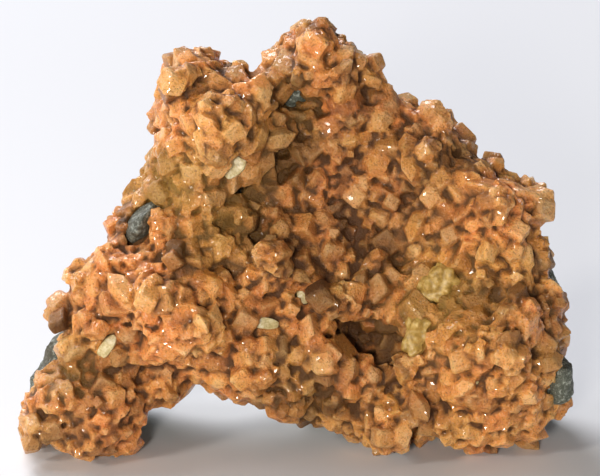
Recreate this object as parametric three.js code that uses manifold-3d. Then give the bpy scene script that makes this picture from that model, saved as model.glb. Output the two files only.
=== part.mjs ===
// A hand specimen of gmelinite-Ca: a crust of intergrown orange crystals on a broken piece of dark
// basalt, with pale blades and yellow flakes of a second mineral grown in among them. It stands on
// its lower edge and leans back a little. Millimetres, +Z up, the crystal face towards -Y.
//
// The shape is worked out in the plane of the specimen: x to the right, y up along the face and
// z out of the face. The group at the end turns that plane to the way the specimen stands.

import * as THREE from "three";
import { ConvexGeometry } from "three/addons/geometries/ConvexGeometry.js";
import { MeshSurfaceSampler } from "three/addons/math/MeshSurfaceSampler.js";
import { SimplexNoise } from "three/addons/math/SimplexNoise.js";
import { mergeVertices } from "three/addons/utils/BufferGeometryUtils.js";
import Module from "manifold-3d";

const wasm = await Module();
wasm.setup();

// How it stands, and where the middle of its footprint lies from the foot of the face.
const LEAN = THREE.MathUtils.degToRad(18);
const FOOTPRINT_MIDDLE = { x: 0.02, back: 11.92 };

// The body: the crust on the face, and the basalt behind it.
const FACE_LEVEL = 4;
const RIM_LEVEL = -3;
const RIM_ROUNDING = 11;
const CRUST_THICKNESS = 5.0;
const SKIRT_DEPTH = 9;
const BASALT_DEPTH_AT_FOOT = 29;
const BASALT_DEPTH_AT_TOP = 9;
const SPECIMEN_HEIGHT = 73;
const ARCHWAY = { x: -14, width: 26, height: 11, widening: 0.3, reach: 60 };
const GAP = 0.35;

const FACE_CELL = 5.4;
const HIDDEN_CELL = 8;
const WAVINESS = 1.3;

// Crystals of gmelinite are six-sided double pyramids with a small flat top. Where every second
// face has outgrown its neighbours they look like leaning cubes, and most on this face do.
const PYRAMID_SLOPE = THREE.MathUtils.degToRad(40);
const BLOCK_SLOPE = THREE.MathUtils.degToRad(50);
const BLOCKY_SHARE = 0.66;
const CRYSTAL_OVERHANG = 1.6;
const CRYSTAL_SPACING = 5.9;
const CRYSTALS_REACH_BACK = -6;
const CRYSTAL_RADIUS = { least: 2.9, most: 3.9 };
const CRYSTAL_TRIES = 5000;

// Outline of the crust with its crystals, clockwise from the lower left corner of the foot.
const OUTLINE = [
  [-43.8, 2.4], [-45.1, 9.0], [-42.6, 14.0], [-40.0, 18.2], [-38.9, 22.0], [-39.4, 25.6],
  [-36.9, 27.8], [-36.1, 31.7], [-32.4, 35.3], [-29.1, 40.4], [-26.2, 45.1], [-24.2, 50.0],
  [-21.8, 57.1], [-22.5, 63.0], [-17.6, 68.4], [-14.8, 68.2], [-12.4, 65.9], [-9.4, 64.1],
  [-6.2, 64.1], [-4.1, 66.1], [-2.4, 70.0], [1.3, 72.9], [5.4, 71.1], [9.8, 68.2],
  [11.9, 64.3], [16.8, 59.6], [22.0, 57.6], [26.4, 54.7], [31.1, 50.1], [36.5, 45.6],
  [40.5, 42.2], [39.2, 39.2], [41.2, 35.0], [42.2, 28.8], [43.6, 26.5], [43.9, 18.4],
  [44.8, 14.8], [43.3, 7.8], [38.7, 2.9], [33.4, 2.6], [27.3, 2.0], [22.8, 4.1],
  [18.4, 4.6], [14.9, 1.7], [12.0, 2.6], [7.3, 4.2], [1.3, 5.7], [-3.1, 6.9],
  [-7.0, 9.3], [-10.4, 9.8], [-12.4, 12.0], [-16.0, 11.6], [-20.5, 10.2], [-25.4, 6.3],
  [-27.3, 1.6], [-30.9, -0.2], [-33.7, 0.3], [-37.3, 2.7],
];

// Outline of the basalt, which shows past the crust on the left, on the right and underneath.
const BASALT_OUTLINE = [
  [-41.2, 5.5], [-43.6, 11.0], [-44.2, 15.0], [-41.4, 19.2], [-38.4, 22.4], [-35.0, 27.6],
  [-28.4, 36.2], [-24.0, 43.8], [-20.4, 52.0], [-19.4, 62.0], [-16.0, 65.4], [-11.0, 62.4],
  [-5.4, 62.6], [-1.6, 66.6], [1.6, 69.8], [8.6, 65.0], [14.4, 57.6], [24.0, 53.6],
  [35.4, 43.8], [38.6, 36.4], [42.8, 29.4], [43.0, 20.0], [44.6, 14.6], [42.8, 9.0],
  [37.4, 4.0], [30.0, 3.6], [22.0, 6.2], [14.0, 4.8], [7.0, 5.2], [-1.0, 7.6],
  [-9.6, 11.0], [-16.6, 9.4], [-22.0, 9.6], [-27.4, 5.2], [-31.0, 1.2], [-36.0, 3.6],
];

// Swells and hollows of the face. Each is a smooth dome or dish of the given reach and rise.
const FORMS = [
  { name: "knob", x: -15.5, y: 58.0, reach: 8.4, rise: 8.0 },
  { name: "knob cheek", x: -9.0, y: 53.6, reach: 6.6, rise: 6.6 },
  { name: "peak", x: 2.6, y: 67.0, reach: 7.0, rise: 4.6 },
  { name: "peak shoulder", x: 8.5, y: 61.5, reach: 5.0, rise: 2.4 },
  { name: "upper ridge", x: 22.0, y: 51.0, reach: 8.0, rise: 2.6 },
  { name: "right lobe", x: 33.0, y: 41.0, reach: 7.0, rise: 5.2 },
  { name: "right flank", x: 38.0, y: 25.0, reach: 8.0, rise: 2.8 },
  { name: "lower right lobe", x: 31.5, y: 17.5, reach: 10.0, rise: 6.4 },
  { name: "lower knob", x: 15.0, y: 5.0, reach: 4.6, rise: 3.6 },
  { name: "left lobe", x: -20.0, y: 25.0, reach: 9.5, rise: 6.4 },
  { name: "left shoulder", x: -32.0, y: 29.0, reach: 6.0, rise: 3.0 },
  { name: "middle cluster", x: -2.1, y: 32.4, reach: 5.0, rise: 4.6 },
  { name: "small cluster", x: 7.0, y: 26.5, reach: 4.2, rise: 3.2 },
  { name: "lower band", x: -3.5, y: 15.6, reach: 8.0, rise: 3.4 },
  { name: "foot", x: -36.0, y: 9.4, reach: 8.0, rise: 4.0 },
  { name: "foot toe", x: -30.0, y: 5.0, reach: 5.0, rise: 2.6 },
  { name: "sunken middle", x: 7.0, y: 39.0, reach: 17.0, rise: -5.4 },
  { name: "cleft beside the peak", x: 0.2, y: 57.4, reach: 4.8, rise: -4.6 },
  { name: "notch under the knob", x: -5.4, y: 46.0, reach: 5.0, rise: -3.8 },
  { name: "saddle above the foot", x: -27.0, y: 14.4, reach: 5.4, rise: -3.6 },
  { name: "ledge over the arch", x: -16.0, y: 13.0, reach: 5.4, rise: -3.4 },
  { name: "underside", x: 2.0, y: 6.0, reach: 6.0, rise: -4.0 },
];

// Hollows in the crust, lined with crystals. Level is the height of the middle over the face.
const HOLLOWS = [
  { name: "deep hollow", x: 11.4, y: 19.8, level: 0.6, size: [15.5, 10, 16], turn: -12 },
  { name: "cleft, upper end", x: -1.4, y: 60.4, level: 1.6, size: [5.4, 8.4, 7], turn: 30 },
  { name: "cleft, lower end", x: -1.6, y: 51.6, level: 1.4, size: [5.4, 8.0, 9], turn: -24 },
  { name: "left pit", x: -10.7, y: 31.4, level: 1.4, size: [7.5, 6.5, 9], turn: 30 },
  { name: "pit above the flakes", x: 17.8, y: 33.6, level: 1.4, size: [6.5, 6.5, 8], turn: 0 },
  { name: "upper pit", x: 15.2, y: 53.4, level: 1.4, size: [7, 6, 8], turn: -30 },
  { name: "right pit", x: 31.2, y: 27.2, level: 1.6, size: [7.5, 6, 8.5], turn: 20 },
  { name: "pit under the knob", x: -8.6, y: 44.2, level: 1.4, size: [8.5, 5.4, 8.5], turn: 20 },
  { name: "pit left of the middle", x: -5.9, y: 38.6, level: 1.6, size: [5.4, 6, 8], turn: 0 },
  { name: "lower pit", x: -1.0, y: 20.0, level: 1.6, size: [8, 5, 8], turn: 10 },
  { name: "left lobe pit", x: -26.8, y: 20.4, level: 1.6, size: [6, 7, 8], turn: -30 },
];

// Places where the basalt comes through the crust.
const BARE_PATCHES = [
  { name: "upper left patch", x: -24.8, y: 39.4, level: -1.6, size: [8.0, 4.2, 9], turn: 48, broken: 0.3 },
  { name: "right patch", x: 42.2, y: 13.8, level: -3.0, size: [5.4, 7.6, 11], turn: 10, broken: 0.3 },
];

// The basalt lies deeper under the largest hollow, so crystals line it all the way down.
const BASALT_DENTS = [{ name: "under the deep hollow", x: 11.4, y: 19.8, reach: 12, rise: -5.6 }];

// Broken faces of the basalt: a point on each, and the way the face looks.
const FRACTURES = [
  { at: [-44, 10, -19], facing: [-1.0, -0.25, -0.75] },
  { at: [-30, 34, -12], facing: [-0.8, 0.5, -0.8] },
  { at: [-8, 56, -13], facing: [-0.35, 0.45, -1.0] },
  { at: [14, 58, -11], facing: [0.5, 0.75, -0.9] },
  { at: [34, 44, -13], facing: [0.85, 0.5, -0.75] },
  { at: [44, 16, -17], facing: [1.0, 0.1, -0.65] },
  { at: [28, 18, -27], facing: [0.35, 0.2, -1.0] },
  { at: [-20, 18, -26], facing: [-0.35, 0.12, -1.0] },
];

// Larger crystals that stand out on the face: place, radius, and how the flat way of each leans.
const LARGE_CRYSTALS = [
  { x: 7.4, y: 51.2, radius: 3.4, lean: 60, turn: 20 },
  { x: 1.4, y: 50.8, radius: 3.6, lean: 75, turn: 160 },
  { x: -4.8, y: 44.6, radius: 3.7, lean: 50, turn: 100 },
  { x: -8.8, y: 40.4, radius: 3.3, lean: 65, turn: 30 },
  { x: -3.2, y: 33.6, radius: 3.9, lean: 70, turn: 80 },
  { x: 21.4, y: 50.6, radius: 3.7, lean: 55, turn: 140 },
  { x: 13.8, y: 33.4, radius: 3.1, lean: 70, turn: 60 },
  { x: 13.4, y: 28.4, radius: 3.2, lean: 80, turn: 10 },
  { x: 24.0, y: 36.4, radius: 3.4, lean: 60, turn: 110 },
  { x: 31.6, y: 42.0, radius: 3.8, lean: 75, turn: 170 },
  { x: 39.0, y: 42.2, radius: 2.9, lean: 40, turn: 20 },
  { x: -21.4, y: 27.4, radius: 3.7, lean: 65, turn: 50 },
  { x: -15.4, y: 22.8, radius: 3.2, lean: 80, turn: 130 },
  { x: -8.2, y: 25.0, radius: 3.6, lean: 60, turn: 90 },
  { x: 5.6, y: 26.4, radius: 3.3, lean: 70, turn: 0 },
  { x: 34.2, y: 18.6, radius: 3.6, lean: 45, turn: 120 },
  { x: -12.6, y: 50.6, radius: 3.3, lean: 70, turn: 70 },
  { x: -18.2, y: 61.4, radius: 3.2, lean: 60, turn: 150 },
  { x: -32.6, y: 22.6, radius: 3.1, lean: 75, turn: 40 },
  { x: -38.0, y: 24.6, radius: 2.7, lean: 30, turn: 10 },
  { x: 3.2, y: 69.0, radius: 3.4, lean: 65, turn: 100 },
  { x: 15.2, y: 4.6, radius: 3.4, lean: 40, turn: 80 },
  { x: -40.6, y: 5.4, radius: 3.5, lean: 70, turn: 160 },
  { x: -31.4, y: 11.0, radius: 3.6, lean: 60, turn: 30 },
];

// Pale blades and yellow flakes of the second mineral. Sizes are width, length and thickness, and
// sunk is how far the middle of each lies under the surface of the crust.
const PALE_PIECES = [
  { name: "pale_blade_left", x: -30.3, y: 19.3, size: [2.0, 4.2, 1.5], sunk: -0.3, turn: -36, tip: 14 },
  { name: "pale_blade_middle", x: -5.1, y: 22.9, size: [1.9, 4.6, 1.5], sunk: -0.3, turn: 83, tip: 8 },
  { name: "pale_blade_under_knob", x: -9.9, y: 48.2, size: [3.0, 4.4, 1.6], sunk: 0, turn: -52, tip: 16 },
  { name: "pale_blade_right", x: 28.3, y: 14.2, size: [2.2, 2.9, 1.6], sunk: 0, turn: -30, tip: 12 },
  { name: "pale_blade_hollow", x: 1.0, y: 27.0, size: [1.4, 2.6, 1.3], sunk: -0.1, turn: 28, tip: 10 },
  { name: "yellow_flake_upper", x: 23.0, y: 29.4, size: [5.4, 7.6, 2.4], sunk: 0.2, turn: -44, tip: 6 },
  { name: "yellow_flake_lower", x: 19.4, y: 21.0, size: [4.2, 8.6, 2.4], sunk: 0.2, turn: -12, tip: 6 },
];

const COLOURS = {
  gmelinite: { color: 0xc47a44, roughness: 0.42, metalness: 0 },
  basalt: { color: 0x4d5247, roughness: 0.85, metalness: 0 },
  paleBlade: { color: 0xd9cfa6, roughness: 0.4, metalness: 0 },
  yellowFlake: { color: 0xbd9a55, roughness: 0.5, metalness: 0 },
};

// The same crystals grow every time: one seeded source of numbers from 0 to 1.
function seededRandom(seed) {
  let state = seed;
  return () => {
    state = (state + 0x6d2b79f5) | 0;
    let t = Math.imul(state ^ (state >>> 15), 1 | state);
    t = (t + Math.imul(t ^ (t >>> 7), 61 | t)) ^ t;
    return ((t ^ (t >>> 14)) >>> 0) / 4294967296;
  };
}

const random = seededRandom(20);
const roughness = new SimplexNoise({ random: seededRandom(7) });

function between(low, high) {
  return low + (high - low) * random();
}

function solid(geometry) {
  const bare = new THREE.BufferGeometry();
  bare.setAttribute("position", geometry.attributes.position);
  bare.setIndex(geometry.index);
  const merged = mergeVertices(bare, 1e-4);
  return new wasm.Manifold(
    new wasm.Mesh({
      numProp: 3,
      vertProperties: merged.attributes.position.array,
      triVerts: new Uint32Array(merged.index.array),
    }),
  );
}

function geometryOf(body) {
  const mesh = body.getMesh();
  const shared = new THREE.BufferGeometry();
  shared.setAttribute("position", new THREE.BufferAttribute(mesh.vertProperties, 3));
  shared.setIndex(new THREE.BufferAttribute(mesh.triVerts, 1));
  const flat = shared.toNonIndexed();
  flat.computeVertexNormals();
  return flat;
}

// Signed distance from a point to the outline, positive inside.
function depthInside(x, y) {
  let nearest = Infinity;
  let inside = false;
  OUTLINE.forEach(([x1, y1], i) => {
    const [x2, y2] = OUTLINE[(i + 1) % OUTLINE.length];
    const [dx, dy] = [x2 - x1, y2 - y1];
    const along = THREE.MathUtils.clamp(((x - x1) * dx + (y - y1) * dy) / (dx * dx + dy * dy), 0, 1);
    nearest = Math.min(nearest, Math.hypot(x - x1 - along * dx, y - y1 - along * dy));
    if (y1 > y !== y2 > y && x < x1 + ((y - y1) / dy) * dx) inside = !inside;
  });
  return inside ? nearest : -nearest;
}

// How far a set of domes and dishes lifts the face at a point.
function lift(forms, x, y) {
  return forms.reduce((sum, form) => {
    const away = Math.hypot(x - form.x, y - form.y) / form.reach;
    return sum + form.rise * Math.exp(-(away ** 2.6));
  }, 0);
}

// Level of the face under its crystals. It curves back to the rim like a quarter of an ellipse.
function faceLevel(x, y) {
  const inward = THREE.MathUtils.clamp(depthInside(x, y) / RIM_ROUNDING, 0, 1);
  const rounding = Math.sqrt(1 - (1 - inward) ** 2);
  const swells = lift(FORMS, x, y) * (0.45 + 0.55 * rounding);
  const uneven = 1.2 * roughness.noise(x / 8, y / 8);
  return RIM_LEVEL + (FACE_LEVEL - RIM_LEVEL) * rounding + swells + uneven;
}

function skirtLevel(x, y) {
  return -SKIRT_DEPTH + 3.4 * roughness.noise(x / 13 + 40, y / 13);
}

function basaltFront(x, y) {
  return faceLevel(x, y) - CRUST_THICKNESS + lift(BASALT_DENTS, x, y);
}

// Far behind the specimen.
function beyond() {
  return -60;
}

function basaltBack(x, y) {
  const height = THREE.MathUtils.clamp(y / SPECIMEN_HEIGHT, 0, 1);
  const depth = THREE.MathUtils.lerp(BASALT_DEPTH_AT_FOOT, BASALT_DEPTH_AT_TOP, height);
  const broken = 1.5 * roughness.noise(x / 15, y / 15 + 60) + 0.8 * roughness.noise(x / 6 + 20, y / 6);
  return -depth + broken;
}

// A block over the whole outline, with one shape for its front and another for its back.
function reliefBlock(front, back, cell) {
  const [width, height] = [104, 84];
  const block = new THREE.BoxGeometry(width, height, 2, Math.round(width / cell), Math.round(height / cell), 1);
  block.translate(0, SPECIMEN_HEIGHT / 2, 0);
  const points = block.attributes.position;
  for (let i = 0; i < points.count; i++) {
    const level = points.getZ(i) > 0 ? front : back;
    points.setZ(i, level(points.getX(i), points.getY(i)));
  }
  return solid(block);
}

// A slab of an outline, deep enough to hold any relief. Its sides can be uneven.
function slab(points, waviness) {
  const shape = new THREE.Shape(points.map(([x, y]) => new THREE.Vector2(x, y)));
  const steps = waviness > 0 ? 9 : 1;
  const geometry = new THREE.ExtrudeGeometry(shape, { depth: 90, bevelEnabled: false, steps });
  geometry.translate(0, 0, -60);
  const corners = geometry.attributes.position;
  for (let i = 0; i < corners.count; i++) {
    const [x, y, z] = [corners.getX(i), corners.getY(i), corners.getZ(i)];
    corners.setX(i, x + waviness * roughness.noise3d(x / 14, y / 14, z / 12));
    corners.setY(i, y + waviness * roughness.noise3d(x / 14, y / 14, z / 12 + 50));
  }
  return solid(geometry);
}

// A rounded lump on or in the face, grown by margin on every side. A broken one has dents and bumps.
function lump({ x, y, level, size, turn, broken = 0 }, margin) {
  const geometry = new THREE.IcosahedronGeometry(1, 1);
  const corners = geometry.attributes.position;
  const corner = new THREE.Vector3();
  for (let i = 0; i < corners.count; i++) {
    corner.fromBufferAttribute(corners, i);
    corner.multiplyScalar(1 + broken * roughness.noise3d(1.7 * corner.x + x, 1.7 * corner.y + y, 1.7 * corner.z));
    corners.setXYZ(i, ...corner);
  }
  geometry.scale(size[0] / 2 + margin, size[1] / 2 + margin, size[2] / 2 + margin);
  geometry.rotateZ(THREE.MathUtils.degToRad(turn));
  geometry.translate(x, y, faceLevel(x, y) + level);
  return solid(geometry);
}

// An outline moved inwards, or outwards with a negative distance, along its corners.
function movedInwards(points, distance) {
  return points.map(([x, y], i) => {
    const before = points.at(i - 1);
    const after = points[(i + 1) % points.length];
    const along = new THREE.Vector2(after[0] - before[0], after[1] - before[1]).normalize();
    return [x + along.y * distance, y - along.x * distance];
  });
}

const plane = new THREE.Group();
plane.rotation.x = Math.PI / 2 - LEAN;
plane.position.set(-FOOTPRINT_MIDDLE.x, -FOOTPRINT_MIDDLE.back, 0);
plane.updateMatrixWorld(true);
const intoPlane = plane.matrixWorld.clone().invert();

// Everything under the surface that the specimen stands on.
function ground() {
  const block = new THREE.BoxGeometry(200, 200, 60);
  block.translate(0, 0, -30);
  block.applyMatrix4(intoPlane);
  return solid(block);
}

// The open space under the specimen, between the foot and the right base, through its whole depth.
// It widens towards the back. Its width and height are those half way through.
function archway() {
  const middle = ARCHWAY.width / 2;
  const growth = (ARCHWAY.reach * ARCHWAY.widening) / 2;
  const tunnel = new THREE.CylinderGeometry(middle + growth, middle - growth, 2 * ARCHWAY.reach, 12);
  tunnel.scale(1, 1, ARCHWAY.height / middle);
  tunnel.translate(ARCHWAY.x, 0, 0);
  tunnel.applyMatrix4(intoPlane);
  return solid(tunnel);
}

function fractureCut({ at, facing }) {
  const outwards = new THREE.Vector3(...facing).normalize();
  const block = new THREE.BoxGeometry(160, 160, 60);
  block.translate(0, 0, 30);
  block.applyQuaternion(new THREE.Quaternion().setFromUnitVectors(new THREE.Vector3(0, 0, 1), outwards));
  block.translate(...at);
  return solid(block);
}

function basaltBody(margin) {
  const front = (x, y) => basaltFront(x, y) + margin;
  const body = slab(movedInwards(BASALT_OUTLINE, -margin), WAVINESS);
  const patches = BARE_PATCHES.map((patch) => lump(patch, margin));
  return wasm.Manifold.union([body.intersect(reliefBlock(front, basaltBack, HIDDEN_CELL)), ...patches]);
}

// Six corners round the middle, each second one raised and the rest lowered, and the two points.
function blockyCrystal(radius) {
  const height = 0.75 * radius * Math.tan(BLOCK_SLOPE);
  const middle = [0, 1, 2, 3, 4, 5].map((i) => {
    const angle = (i * Math.PI) / 3;
    const level = i % 2 ? -height / 3 : height / 3;
    return new THREE.Vector3(radius * Math.cos(angle), radius * Math.sin(angle), level);
  });
  return new ConvexGeometry([...middle, new THREE.Vector3(0, 0, height), new THREE.Vector3(0, 0, -height)]);
}

// The double pyramid with its two flat ends. The flat way of every crystal is along +Z.
function sixSidedCrystal(radius) {
  const end = radius * between(0.3, 0.5);
  const height = (radius - end) * Math.tan(PYRAMID_SLOPE);
  const rings = [[radius, 0], [end, height], [end, -height]];
  const corners = rings.flatMap(([r, z]) =>
    Array.from({ length: 6 }, (_, i) => {
      const angle = (i * Math.PI) / 3;
      return new THREE.Vector3(r * Math.cos(angle), r * Math.sin(angle), z);
    }),
  );
  return new ConvexGeometry(corners);
}

function crystal(centre, axis, radius) {
  const geometry = random() < BLOCKY_SHARE ? blockyCrystal(radius) : sixSidedCrystal(radius * 1.1);
  geometry.rotateZ(between(0, Math.PI));
  geometry.applyQuaternion(new THREE.Quaternion().setFromUnitVectors(new THREE.Vector3(0, 0, 1), axis));
  geometry.translate(centre.x, centre.y, centre.z);
  return solid(geometry);
}

function largeCrystals() {
  return LARGE_CRYSTALS.map(({ x, y, radius, lean, turn }) => {
    const axis = new THREE.Vector3().setFromSphericalCoords(
      1,
      THREE.MathUtils.degToRad(lean),
      THREE.MathUtils.degToRad(turn),
    );
    axis.set(axis.x, axis.z, axis.y);
    const centre = new THREE.Vector3(x, y, faceLevel(x, y) - 0.05 * radius);
    return { centre, body: crystal(centre, axis, radius) };
  });
}

function isBare(point) {
  return BARE_PATCHES.some(({ x, y, size }) => Math.hypot(point.x - x, point.y - y) < size[0] / 2);
}

// Crystals scattered over the face and round the rim, none closer to another than the spacing.
function scatteredCrystals(crust, taken) {
  const sampler = new MeshSurfaceSampler(new THREE.Mesh(geometryOf(crust)));
  sampler.setRandomGenerator(random).build();
  const [point, outwards, sideways] = [new THREE.Vector3(), new THREE.Vector3(), new THREE.Vector3()];
  const grown = [];
  for (let i = 0; i < CRYSTAL_TRIES; i++) {
    sampler.sample(point, outwards);
    const standing = point.clone().applyMatrix4(plane.matrixWorld).z;
    if (point.z < CRYSTALS_REACH_BACK || standing < 1 || isBare(point)) continue;
    if ([...taken, ...grown].some(({ centre }) => centre.distanceTo(point) < CRYSTAL_SPACING)) continue;
    sideways.set(between(-1, 1), between(-1, 1), between(-1, 1)).cross(outwards).normalize();
    const lean = THREE.MathUtils.degToRad(between(15, 85));
    const axis = outwards.clone().multiplyScalar(Math.cos(lean)).addScaledVector(sideways, Math.sin(lean));
    const radius = between(CRYSTAL_RADIUS.least, CRYSTAL_RADIUS.most);
    const centre = point.clone().addScaledVector(outwards, between(-0.45, 0) * radius);
    grown.push({ centre, body: crystal(centre, axis.normalize(), radius) });
  }
  return grown;
}

// Level of the front of a body at any point of the plane.
function frontOf(body) {
  const surface = new THREE.Mesh(geometryOf(body));
  const ray = new THREE.Raycaster();
  return (x, y) => {
    ray.set(new THREE.Vector3(x, y, 80), new THREE.Vector3(0, 0, -1));
    return ray.intersectObject(surface)[0].point.z;
  };
}

// A pale blade or flake with bevelled edges and pointed ends, grown by margin on every side.
function paleGeometry({ x, y, size, sunk, turn, tip }, level, margin) {
  const [w, l, t] = size.map((s) => s / 2 + margin);
  const corners = [];
  for (const side of [-1, 1]) {
    corners.push([0, side * l, 0], [w, side * l * 0.6, 0], [-w, side * l * 0.6, 0]);
    corners.push([0, side * l * 0.82, t], [w * 0.7, side * l * 0.5, t], [-w * 0.7, side * l * 0.5, t]);
    corners.push([0, side * l * 0.82, -t], [w * 0.7, side * l * 0.5, -t], [-w * 0.7, side * l * 0.5, -t]);
  }
  const geometry = new ConvexGeometry(corners.map((c) => new THREE.Vector3(...c)));
  geometry.rotateX(THREE.MathUtils.degToRad(tip));
  geometry.rotateZ(THREE.MathUtils.degToRad(turn));
  geometry.translate(x, y, level(x, y) - sunk);
  return geometry;
}

function largestPart(body) {
  return body.decompose().sort((a, b) => b.volume() - a.volume())[0];
}

function basalt() {
  const cuts = FRACTURES.map(fractureCut);
  return largestPart(wasm.Manifold.difference([basaltBody(0), ...cuts, archway(), ground()]));
}

function crustBase() {
  const face = slab(movedInwards(OUTLINE, CRYSTAL_OVERHANG), 0).intersect(reliefBlock(faceLevel, beyond, FACE_CELL));
  const behind = reliefBlock(skirtLevel, beyond, HIDDEN_CELL);
  const hollows = HOLLOWS.map((hollow) => lump(hollow, 0));
  return wasm.Manifold.difference([face, behind, ...hollows]);
}

function allCrystals() {
  const base = crustBase();
  const large = largeCrystals();
  const grown = [...large, ...scatteredCrystals(base, large)].map(({ body }) => body);
  return wasm.Manifold.union([base, ...grown]);
}

const grownCrust = allCrystals();
const grownLevel = frontOf(grownCrust);

function crust() {
  const roomForPale = PALE_PIECES.map((piece) => solid(paleGeometry(piece, grownLevel, GAP)));
  return largestPart(wasm.Manifold.difference([grownCrust, basaltBody(GAP), ...roomForPale, ground()]));
}

function add(name, geometry, finish) {
  const mesh = new THREE.Mesh(geometry, new THREE.MeshStandardMaterial({ ...finish, flatShading: true }));
  mesh.name = name;
  plane.add(mesh);
}

add("basalt_matrix", geometryOf(basalt()), COLOURS.basalt);
add("gmelinite_crust", geometryOf(crust()), COLOURS.gmelinite);
for (const piece of PALE_PIECES) {
  const finish = piece.name.startsWith("yellow") ? COLOURS.yellowFlake : COLOURS.paleBlade;
  add(piece.name, paleGeometry(piece, grownLevel, 0), finish);
}

const specimen = new THREE.Group();
specimen.add(plane);

export default specimen;
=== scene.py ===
# %% [markdown]
# This lesson dresses a hand specimen of gmelinite-Ca, a zeolite that grows in old gas bubbles of
# basalt. A crust of orange crystals sits on a broken piece of the dark rock, with a few pale
# blades and yellow flakes between them.
# The solid model already has the body, the larger crystals and the hollows, at true size. It could
# be given a material and left so, but the real crust is made of thousands of small crystals.
# They are grown here on the solid's own surface, so the shape stays and only detail is added.

# %% Load the solid model
import math
import bpy
import numpy as np
from mathutils import Matrix, Vector, noise
from mathutils.bvhtree import BVHTree


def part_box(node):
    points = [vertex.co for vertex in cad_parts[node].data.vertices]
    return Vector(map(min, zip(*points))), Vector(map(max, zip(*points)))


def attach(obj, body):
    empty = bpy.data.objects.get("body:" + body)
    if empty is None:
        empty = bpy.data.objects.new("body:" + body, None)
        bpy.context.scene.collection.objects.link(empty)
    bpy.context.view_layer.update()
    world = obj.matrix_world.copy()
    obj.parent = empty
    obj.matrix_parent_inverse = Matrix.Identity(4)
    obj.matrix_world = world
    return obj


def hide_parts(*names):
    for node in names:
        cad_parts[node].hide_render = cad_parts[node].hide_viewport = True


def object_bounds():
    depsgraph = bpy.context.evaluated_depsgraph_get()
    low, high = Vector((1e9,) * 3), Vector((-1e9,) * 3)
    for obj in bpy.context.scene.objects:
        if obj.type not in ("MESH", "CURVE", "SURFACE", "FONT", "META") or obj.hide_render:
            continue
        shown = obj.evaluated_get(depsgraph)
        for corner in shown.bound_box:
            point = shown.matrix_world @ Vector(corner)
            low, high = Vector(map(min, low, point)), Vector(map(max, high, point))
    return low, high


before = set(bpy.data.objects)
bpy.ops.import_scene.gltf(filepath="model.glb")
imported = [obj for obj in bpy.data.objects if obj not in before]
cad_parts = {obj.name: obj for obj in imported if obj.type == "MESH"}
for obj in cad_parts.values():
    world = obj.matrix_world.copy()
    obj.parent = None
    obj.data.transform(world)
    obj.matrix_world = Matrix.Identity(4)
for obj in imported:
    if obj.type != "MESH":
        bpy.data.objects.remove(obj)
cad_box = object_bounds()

print("nodes:", sorted(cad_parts))
print("box of the solids:", cad_box)

# %% [markdown]
# Everything on the face is easier to place in the plane of the specimen: x to the right, y up
# along the face, z out of it. The specimen leans back, so one matrix turns that plane into the
# frame. Its numbers are the ones the solid model was built with.

# %% The plane of the face
MM = 0.001
LEAN = math.radians(18)
FOOTPRINT_MIDDLE = (0.02 * MM, 11.92 * MM)
PLANE = Matrix.Translation((-FOOTPRINT_MIDDLE[0], -FOOTPRINT_MIDDLE[1], 0)) @ Matrix.Rotation(
    math.pi / 2 - LEAN, 4, "X"
)


def on_plane(point):
    """Plane coordinates in millimetres of a point in the frame."""
    return PLANE.inverted() @ Vector(point) / MM


print("middle of the footprint lies", on_plane((0, 0, 0)).to_tuple(1), "mm from the foot of the face")

# %% [markdown]
# Blender's modelling operators act on whatever is selected, and loading a model leaves parts of it
# selected. Small helpers keep that in order: one deselects everything before a new primitive, one
# selects a single object, one applies a modifier to it and one counts its triangles.
# All chance comes from one seed, so the specimen is the same on every run. Blender's noise vectors
# need the seed too: without it they start from the clock, and every run would differ a little.

# %% Helpers for modelling
SEED = 11
rng = np.random.default_rng(SEED)
noise.seed_set(SEED)


def nothing_selected():
    if bpy.context.object and bpy.context.object.mode != "OBJECT":
        bpy.ops.object.mode_set(mode="OBJECT")
    bpy.ops.object.select_all(action="DESELECT")


def only(obj):
    """Makes obj the one selected and active object."""
    nothing_selected()
    obj.select_set(True)
    bpy.context.view_layer.objects.active = obj
    return obj


def apply_modifier(obj, kind, **settings):
    only(obj)
    modifier = obj.modifiers.new(kind.lower(), kind)
    for key, value in settings.items():
        setattr(modifier, key, value)
    bpy.ops.object.modifier_apply(modifier=modifier.name)


def triangles(obj):
    return sum(len(face.vertices) - 2 for face in obj.data.polygons)


# %% [markdown]
# Colours are written as they look on a screen, and Blender's shaders work with linear light, so
# one function converts them. One more adds a node to a material with its settings, the stops of
# its colour ramp if it has one, and its links.

# %% Helpers for materials
COLOUR_MIX = {"data_type": "RGBA", "blend_type": "MIX"}


def linear(hex_colour):
    channels = [int(hex_colour[i:i + 2], 16) / 255 for i in (1, 3, 5)]
    return (*[c / 12.92 if c <= 0.04045 else ((c + 0.055) / 1.055) ** 2.4 for c in channels], 1)


def add_node(material, kind, inputs=(), links=(), stops=(), **settings):
    """Adds a node, sets its properties, input values and stops, and links outputs to its inputs."""
    node = material.node_tree.nodes.new("ShaderNode" + kind)
    for key, value in settings.items():
        setattr(node, key, value)
    for key, value in dict(inputs).items():
        node.inputs[key].default_value = value
    for key, output in dict(links).items():
        material.node_tree.links.new(output, node.inputs[key])
    while stops and len(node.color_ramp.elements) < len(stops):
        node.color_ramp.elements.new(0.5)
    for number, (place, colour) in enumerate(stops):
        node.color_ramp.elements[number].position = place
        node.color_ramp.elements[number].color = linear(colour)
    return node


def new_material(name):
    material = bpy.data.materials.new(name)
    material.use_nodes = True
    material.node_tree.nodes.clear()
    return material


def finish_material(material, surface):
    add_node(material, "OutputMaterial", links={"Surface": surface.outputs[0]})
    print("material:", material.name, len(material.node_tree.nodes), "nodes")
    return material


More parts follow.
